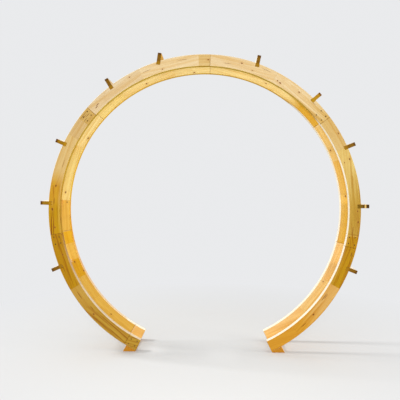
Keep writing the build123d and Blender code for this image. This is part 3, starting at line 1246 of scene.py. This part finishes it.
sun_height = np.degrees(np.arctan2(TO_THE_SUN[2], -TO_THE_SUN[0]))
print("height of the sun in degrees:", round(float(sun_height)))

# %% [markdown]
# ## Relief
#
# Planed wood that has been wet is no longer flat: the fibres, the hard summer wood and the knots stand up by
# a fraction of a millimetre. Modelling that would take millions of faces, so a Bump node tilts the light on
# them instead. The streaks that are darker are a little rougher as well.

# %% Add the relief
WOOD_ROUGHNESS = (0.66, 0.82)
RELIEF = {"fibres": 0.5, "summer wood": 0.6, "knots": 0.8}
RELIEF_HEIGHT = 0.0002
RELIEF_STRENGTH = 0.35


def add_relief(tree, shader, streaks, fibres, summer, knot):
    """Roughness from the streaks, and a bump from the fibres, the rings and the knots."""
    rough = span(tree, streaks, *NOISE_SPREAD, *WOOD_ROUGHNESS)
    tree.links.new(rough, shader.inputs["Roughness"])
    shader.inputs["Specular IOR Level"].default_value = 0.2
    height = maths(tree, "MULTIPLY", summer, RELIEF["summer wood"])
    height = maths(tree, "MULTIPLY_ADD", fibres, RELIEF["fibres"], height)
    height = maths(tree, "MULTIPLY_ADD", knot, RELIEF["knots"], height)
    bump = tree.nodes.new("ShaderNodeBump")
    bump.inputs["Strength"].default_value = RELIEF_STRENGTH
    bump.inputs["Distance"].default_value = RELIEF_HEIGHT
    tree.links.new(height, bump.inputs["Height"])
    tree.links.new(bump.outputs[0], shader.inputs["Normal"])


print("height of the relief in mm:", RELIEF_HEIGHT * 1000)

# %% [markdown]
# ## Put the softwood together
#
# The steps above follow each other in this order: first the lengths and their darker spans, then the rings
# and the knots in them, then the rubbed edges and the painted sunlight and shade, and last the tint of the
# sawn ends. One function serves all the timbers, and what differs between them comes in as its inputs.

# %% Make the rims' softwood
RIM_PITH = (0.05, -0.10)
RIM_END_TINT = colour(206, 176, 124)
STREAK_SCALE = (1.6, 70.0, 70.0)
FIBRE_SCALE = (22.0, 1400.0, 1400.0)
LENGTH_SHIFT = 61.0
LENGTH_SHIFT_ACROSS = 0.37


def softwood(name, tone=None, lengths=None, pith=RIM_PITH, knots=None, splits=(), stains=(),
             half_width=RIM_WIDTH / 2, ends=(RIM_END_TINT,), sun_start=0.0, shaded_tint=SHADED_TINT):
    """Planed softwood, either glued up from lengths or of one tone. The pith is its distance in depth and
    outward, and the ends are their tint at the inner edge and then the bands further out."""
    material, tree, shader = new_material(name)
    parts = tree.nodes.new("ShaderNodeSeparateXYZ")
    tree.links.new(stored(tree, "grain")[1], parts.inputs[0])
    along, depth, outward = parts.outputs
    base, shift, run, across, glue, joint_places = tone, 0.0, along, outward, 0.0, (along, along)
    if lengths is not None:
        joint_places = (fingered(tree, along, depth), lapped(tree, along, depth))
        base, shift, run, across, glue = glued_up(tree, along, outward, joint_places, lengths)
    place = vector(tree, maths(tree, "MULTIPLY_ADD", shift, LENGTH_SHIFT, run), depth,
                   maths(tree, "MULTIPLY_ADD", shift, LENGTH_SHIFT_ACROSS, across))

    listed = knots is not None
    away = listed_knots(tree, along, depth, outward, knots) if listed else scattered_knots(tree, place)
    away = ragged(tree, place, away)
    knot, swerve = knot_and_swerve(tree, away)
    summer = growth_rings(tree, place, depth, across, shift, swerve, pith)
    streaks = noise(tree, place, STREAK_SCALE, detail=4.0, roughness=0.7)
    fibres = noise(tree, place, FIBRE_SCALE)

    base = darkened_spans(tree, base, joint_places, outward, streaks, stains)
    surface = figured(tree, base, place, summer, streaks, fibres)
    surface = knotted(tree, surface, away, knot, swerve)
    surface = lined(tree, surface, along, outward, splits, glue)
    surface = rubbed(tree, surface, outward, half_width, fibres)
    sawn_end, _ = stored(tree, "end_grain")
    surface = weather_and_painted_light(tree, surface, streaks, sawn_end, sun_start, shaded_tint)
    surface = mixed(tree, sawn_end, surface, end_tint(tree, outward, *ends), "MULTIPLY")
    tree.links.new(surface, shader.inputs["Base Color"])
    add_relief(tree, shader, streaks, fibres, summer, knot)
    return material


# On the front rim the golden painted shade reaches further round the inner edge, where the rear rim shades
# it.
front_wood = softwood("front rim softwood", lengths=FRONT_LENGTHS, knots=FRONT_KNOTS, splits=FRONT_SPLITS,
                      stains=FRONT_DARKER_SPANS, sun_start=0.21, shaded_tint=colour(236, 226, 92))
rear_wood = softwood("rear rim softwood", lengths=REAR_LENGTHS, knots=REAR_KNOTS, stains=REAR_DARKER_SPANS,
                     shaded_tint=colour(250, 230, 112))
print("nodes in the rims' materials:", len(front_wood.node_tree.nodes), len(rear_wood.node_tree.nodes))

# %% [markdown]
# ## Board ends and feet, with painted shade
#
# The ends of the cross boards face the weather, and they are what shows of a board from the front. Most have
# gone brown, darkest at the tip, and their dark tints are partly weathered end grain and partly painted
# shade. Two are still golden, one is fresh, and one is nearly black, with a painted strip of sunlight across
# it. All four kinds are the same wood with other bands of tint on the ends, which is less work than four
# finishes. The feet are darker gold, which is painted shade, and nothing rubs their edges.

# %% Give every timber its wood
# Board end tints: weathered end grain with painted shade in it.
BOARD_ENDS = {
    "weather_and_painted_light": (colour(185, 164, 44),
                  (-0.026, -0.014, colour(149, 127, 24)), (0.024, 0.036, colour(115, 93, 18))),
    "golden": (colour(207, 186, 28),
               (-0.026, -0.014, colour(180, 160, 15)), (0.024, 0.036, colour(110, 79, 6))),
    "fresh": (colour(213, 198, 60),
              (-0.026, -0.014, colour(208, 190, 62)), (0.024, 0.036, colour(144, 112, 22))),
    # The white band on this end is a painted strip of sunlight.
    "sunlit_strip": (colour(140, 128, 12),
               (-0.010, 0.004, colour(96, 76, 4)), (0.008, 0.010, colour(255, 255, 255)),
               (0.021, 0.023, colour(84, 72, 2)))}
BOARD_KINDS = {"cross_board_right_2_timber": "fresh", "cross_board_right_4_timber": "sunlit_strip",
               "cross_board_left_3_timber": "golden", "cross_board_left_4_timber": "golden"}
BEYOND_THE_FOOT = 0.2

# The foot's darker gold tone is painted shade.
foot_wood = softwood("foot softwood", tone=colour(222, 170, 72), pith=(0.03, -0.05),
                     half_width=BEYOND_THE_FOOT, ends=(colour(236, 218, 160),))
finishes = [(rim_timbers["front"], front_wood), (rim_timbers["rear"], rear_wood), (feet, foot_wood)]
for kind, ends in BOARD_ENDS.items():
    board_wood = softwood(f"{kind} board softwood", tone=colour(232, 198, 120), pith=(0.02, -0.06),
                          half_width=BOARD_WIDTH / 2, ends=ends)
    alike = [piece for piece in boards if BOARD_KINDS.get(piece.name, "weather_and_painted_light") == kind]
    finishes.append((alike, board_wood))
for pieces, material in finishes:
    for piece in pieces:
        piece.data.materials.clear()
        piece.data.materials.append(material)
print("timbers of each wood:", {material.name: len(pieces) for pieces, material in finishes})

# %% [markdown]
# ## Screw steel
#
# The screws are passivated yellow and dulled by weather. A brown paint would look flat, so they are metal
# with a brownish tint, broken up by a fine noise in the colour and the roughness.

# %% Make the screw steel
MOTTLE_SCALE = (900.0, 900.0, 900.0)
DARK_STEEL = colour(84, 62, 34)
PALE_STEEL = colour(140, 112, 70)
STEEL_ROUGHNESS = (0.35, 0.55)
steel, tree, shader = new_material("passivated screw steel")
shader.inputs["Metallic"].default_value = 1.0
steel_place = tree.nodes.new("ShaderNodeTexCoord").outputs["Object"]
mottle = noise(tree, steel_place, MOTTLE_SCALE, detail=3.0)
tree.links.new(mixed(tree, mottle, DARK_STEEL, PALE_STEEL), shader.inputs["Base Color"])
tree.links.new(span(tree, mottle, *NOISE_SPREAD, *STEEL_ROUGHNESS), shader.inputs["Roughness"])
for piece in screws:
    piece.data.materials.append(steel)
print("screw steel on", len(screws), "meshes")

# %% [markdown]
# ## A plain pale studio
#
# The floor is one large flat sheet. It lies half a millimetre below the soles, because two surfaces in one
# place flicker.

# %% Lay the floor
FLOOR_DROP = 0.0005
FLOOR_REACH = 30.0
corners = np.array([(-1, -1), (1, -1), (1, 1), (-1, 1)]) * FLOOR_REACH
floor_points = np.column_stack([corners, np.full(4, -FLOOR_DROP)])
floor_mesh = bpy.data.meshes.new("floor")
floor_mesh.from_pydata(floor_points.tolist(), [], [(0, 1, 2, 3)])
floor = placed_object("floor", floor_mesh)
floor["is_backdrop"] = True
print("floor reaches", FLOOR_REACH, "m each way")

# %% [markdown]
# ## A floor without a horizon
#
# The floor keeps the gate's shadow, and further out it fades into the pale grey background, so no horizon
# shows and the gate's edges with painted sunlight stand out. A curved backdrop would hide the horizon too,
# but only from one side. What is seen and what lights the gate are kept apart: the camera and reflections
# see a pale floor, and the light that it throws back on the gate is that of a darker one.

# %% Paint the floor
BACKDROP = colour(233, 234, 236)
FLOOR_SEEN = colour(206, 206, 205)
FLOOR_LIT = colour(176, 175, 172)
FADE_RADII = (1.0, 2.6)


def seen_directly(tree):
    """1 for rays from the camera and for reflections, and 0 for light that falls on the gate."""
    path = tree.nodes.new("ShaderNodeLightPath").outputs
    seen = maths(tree, "MAXIMUM", path["Is Camera Ray"], path["Is Glossy Ray"])
    return maths(tree, "MAXIMUM", seen, path["Is Transmission Ray"])


floor_paint, tree, shader = new_material("pale floor")
shader.inputs["Roughness"].default_value = 0.9
seen = seen_directly(tree)
tree.links.new(mixed(tree, seen, FLOOR_LIT, FLOOR_SEEN), shader.inputs["Base Color"])
radius = vector_maths(tree, "LENGTH", tree.nodes.new("ShaderNodeTexCoord").outputs["Object"])
fade = maths(tree, "MULTIPLY", span(tree, radius, *FADE_RADII), seen)
glow = tree.nodes.new("ShaderNodeEmission")
glow.inputs["Color"].default_value = BACKDROP
blend = tree.nodes.new("ShaderNodeMixShader")
tree.links.new(fade, blend.inputs[0])
tree.links.new(shader.outputs[0], blend.inputs[1])
tree.links.new(glow.outputs[0], blend.inputs[2])
tree.links.new(blend.outputs[0], tree.nodes["Material Output"].inputs["Surface"])
floor_mesh.materials.append(floor_paint)
print("floor fades from", FADE_RADII[0], "to", FADE_RADII[1], "m from the gate's middle")

# %% [markdown]
# ## The world round the gate
#
# The background is treated in the same way. Its colour is only what the camera and reflections see, and the
# light that falls on the gate from all round is a plain grey, so it doesn't tint the wood.

# %% Colour the world
WORLD_LIGHT = (0.77, 0.77, 0.77, 1.0)
world = bpy.data.worlds.new("studio")
bpy.context.scene.world = world
world.use_nodes = True
tree = world.node_tree
world_colour = mixed(tree, seen_directly(tree), WORLD_LIGHT, BACKDROP)
tree.links.new(world_colour, tree.nodes["Background"].inputs["Color"])
print("world light:", WORLD_LIGHT[0])

# %% [markdown]
# ## Three soft lamps
#
# The key stands high on the left, a little behind the gate, and brightens the edges that face up and
# inward. A fill in front keeps the broad faces near their own colour, and a large weak one on the right
# opens the shadows on the far edges. A sun lamp would be simpler, but its shadows are hard.

# %% Place the lamps
GATE_MIDDLE = Vector((0.0, 0.0, CENTRE_HEIGHT))


def area_light(name, place, size, power):
    """Square soft lamp aimed at the middle of the gate."""
    light = bpy.data.lights.new(name, "AREA")
    light.size = size
    light.energy = power
    lamp = placed_object(name, light)
    lamp.location = place
    lamp.rotation_euler = (GATE_MIDDLE - Vector(place)).to_track_quat("-Z", "Y").to_euler()
    return lamp


lamps = [area_light("key", (-7.4, 0.9, 7.9), 1.6, 560),
         area_light("front fill", (0.08, -3.8, 1.32), 0.6, 51),
         area_light("side fill", (7.0, -1.0, 2.0), 3.0, 230)]
print("lamps in watts:", {lamp.name: lamp.data.energy for lamp in lamps})

# %% [markdown]
# ## The camera
#
# The picture was taken from about 4 m in front of the gate at chest height, slightly to the right of its
# middle and aimed a little down and to the left. Straight edges that run from front to rear meet at a
# vanishing point, and the rear rim looks smaller than the front one: together they fix the place.

# %% Set the camera
CAMERA_PLACE = Vector((0.075, -4.176, 1.333))
CAMERA_YAW = np.radians(-1.46)
CAMERA_PITCH = np.radians(-2.07)
LENS_MM = 46.8
SENSOR_MM = 36.0
camera_data = bpy.data.cameras.new("camera")
camera_data.lens = LENS_MM
camera_data.sensor_width = SENSOR_MM
camera = placed_object("camera", camera_data)
camera.location = CAMERA_PLACE
aim = Vector((np.sin(CAMERA_YAW) * np.cos(CAMERA_PITCH), np.cos(CAMERA_YAW) * np.cos(CAMERA_PITCH),
              np.sin(CAMERA_PITCH)))
camera.rotation_euler = aim.to_track_quat("-Z", "Y").to_euler()
bpy.context.scene.camera = camera
bpy.context.scene.view_settings.view_transform = "Standard"
print("camera to the gate's front face in metres:", round(FRONT_FACE - CAMERA_PLACE.y, 3))

# %% [markdown]
# ## Keep the size
#
# The dressed gate has to fill the same box as the frame, because other parts are set against it. So both
# boxes are gathered side by side, and the dressed one is measured and printed.

# %% Measure the dressed box and finish
dressed_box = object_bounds()
sizes = {name: [list(corner) for corner in box]
         for name, box in (("frame", frame_box), ("dressed", dressed_box))}
print("dressed box in mm:", in_millimetres(dressed_box))
